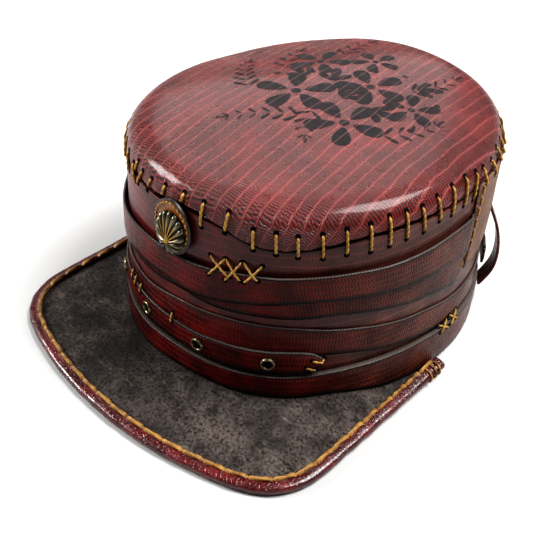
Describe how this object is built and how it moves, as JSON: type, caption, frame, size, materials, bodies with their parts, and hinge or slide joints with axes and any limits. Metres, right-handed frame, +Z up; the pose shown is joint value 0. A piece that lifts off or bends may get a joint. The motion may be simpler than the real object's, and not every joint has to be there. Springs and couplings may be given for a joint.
{
  "type": "leather kepi cap",
  "caption": "Kepi cap of red embossed leather: tall oval crown wrapped in straps, stitched top, broad bound peak, small front concho; hollow for the head and open below.",
  "frame": {"origin": "bottom centre of the bounding box, on the surface that the cap rests on", "axes": "+Z up out of the surface, -Y towards the peak, +X towards the wearer's left; the crown leans back 0.8 degrees, as the cap lies by itself"},
  "size_m": [0.207, 0.2522, 0.1254],
  "materials": {
    "lizard_leather": "glossy oxblood leather with a lizard emboss",
    "strap_leather": "glossy dark oxblood strap leather with burnished black edges",
    "panel_leather": "matt tan leather",
    "suede": "worn charcoal roughout",
    "binding_leather": "glossy dark red binding leather",
    "patch_leather": "glossy saddle tan",
    "eyelet_brass": "aged brass",
    "concho_metal": "aged nickel silver with gilt rays",
    "waxed_thread": "mustard waxed thread"
  },
  "bodies": {
    "root": {"crown_wall": "lizard_leather", "crown_top": "lizard_leather", "upper_band": "strap_leather", "second_band": "strap_leather", "middle_band": "strap_leather", "eyelet_strap": "strap_leather", "lower_band": "strap_leather", "rear_panel": "panel_leather", "keeper_strap": "strap_leather", "peak": "suede", "peak_binding": "binding_leather", "eyelet_1": "eyelet_brass", "eyelet_2": "eyelet_brass", "eyelet_3": "eyelet_brass", "eyelet_4": "eyelet_brass", "eyelet_5": "eyelet_brass", "eyelet_6": "eyelet_brass", "eyelet_7": "eyelet_brass", "eyelet_8": "eyelet_brass", "eyelet_9": "eyelet_brass", "concho_patch": "patch_leather", "concho": "concho_metal"}
  },
  "joints": []
}
